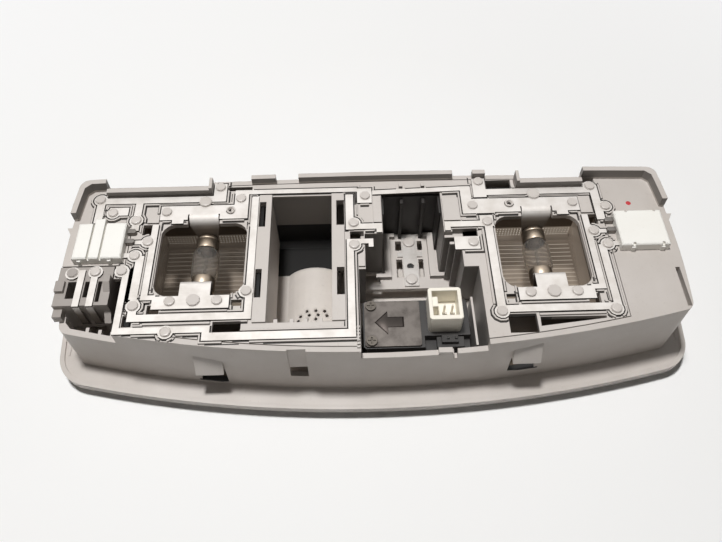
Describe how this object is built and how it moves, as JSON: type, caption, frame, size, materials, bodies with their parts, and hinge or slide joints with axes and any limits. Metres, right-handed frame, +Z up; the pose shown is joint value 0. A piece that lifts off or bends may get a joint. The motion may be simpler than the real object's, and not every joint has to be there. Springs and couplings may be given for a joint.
{
  "type": "car interior light",
  "caption": "Car roof lamp seen from its roof side: bowed grey housing with bulbs under square openings, staked current strips, push switches, open pocket and a control module.",
  "frame": {"origin": "middle of the lamp's outline, on the flat of its face, which lies on the ground", "axes": "+Z up from the face to the roof side, +X along the lamp towards the plain end plate, +Y from the bowed front edge to the back edge"},
  "size_m": [0.244, 0.093, 0.04],
  "materials": {
    "grey_shell": "fine grained",
    "grey_carrier": "fine grained",
    "grey_button": "fine grained",
    "clear_lens": "clear, ribbed inside",
    "white_switch": "semi-gloss",
    "strip_metal": "tin plated, satin",
    "bulb_glass": "clear",
    "cap_metal": "nickel plated",
    "filament_wire": "drawn wire",
    "black_plastic": "fine grained",
    "cover_metal": "pressed sheet",
    "screw_metal": "dark plated",
    "cream_plastic": "semi-gloss",
    "pin_metal": "tin plated"
  },
  "bodies": {
    "lamp": {"corner_strip": "strip_metal", "face_panel": "grey_shell", "front_strip": "strip_metal", "harness_blades": "strip_metal", "harness_connector": "grey_carrier", "housing": "grey_shell", "left_back_strip": "strip_metal", "left_bulb_caps": "cap_metal", "left_bulb_filament": "filament_wire", "left_bulb_glass": "bulb_glass", "left_feed_strip": "strip_metal", "left_frame_strip": "strip_metal", "left_lens": "clear_lens", "left_lower_contact": "strip_metal", "left_switch_case": "white_switch", "left_switch_terminals": "strip_metal", "middle_contact": "strip_metal", "middle_tub": "black_plastic", "module_case": "black_plastic", "module_connector": "cream_plastic", "module_cover": "cover_metal", "module_latch": "black_plastic", "module_pins": "pin_metal", "module_screws": "screw_metal", "right_back_strip": "strip_metal", "right_bulb_caps": "cap_metal", "right_bulb_filament": "filament_wire", "right_bulb_glass": "bulb_glass", "right_feed_strip": "strip_metal", "right_frame_strip": "strip_metal", "right_lens": "clear_lens", "right_lower_contact": "strip_metal", "right_switch_case": "white_switch", "right_switch_terminals": "strip_metal", "terminal_plate": "grey_carrier", "tub_left_strip": "strip_metal", "tub_right_strip": "strip_metal"},
    "left_push": {"left_button": "grey_button"},
    "right_push": {"right_button": "grey_button"}
  },
  "joints": [
    {"name": "left_button_push", "type": "slide", "parent": "lamp", "child": "left_push", "axis": [0, 0, 1], "range_m": [0, 0.0025], "stiffness_N_per_m": 400, "springref_m": -0.001},
    {"name": "right_button_push", "type": "slide", "parent": "lamp", "child": "right_push", "axis": [0, 0, 1], "range_m": [0, 0.0025], "stiffness_N_per_m": 400, "springref_m": -0.001}
  ]
}
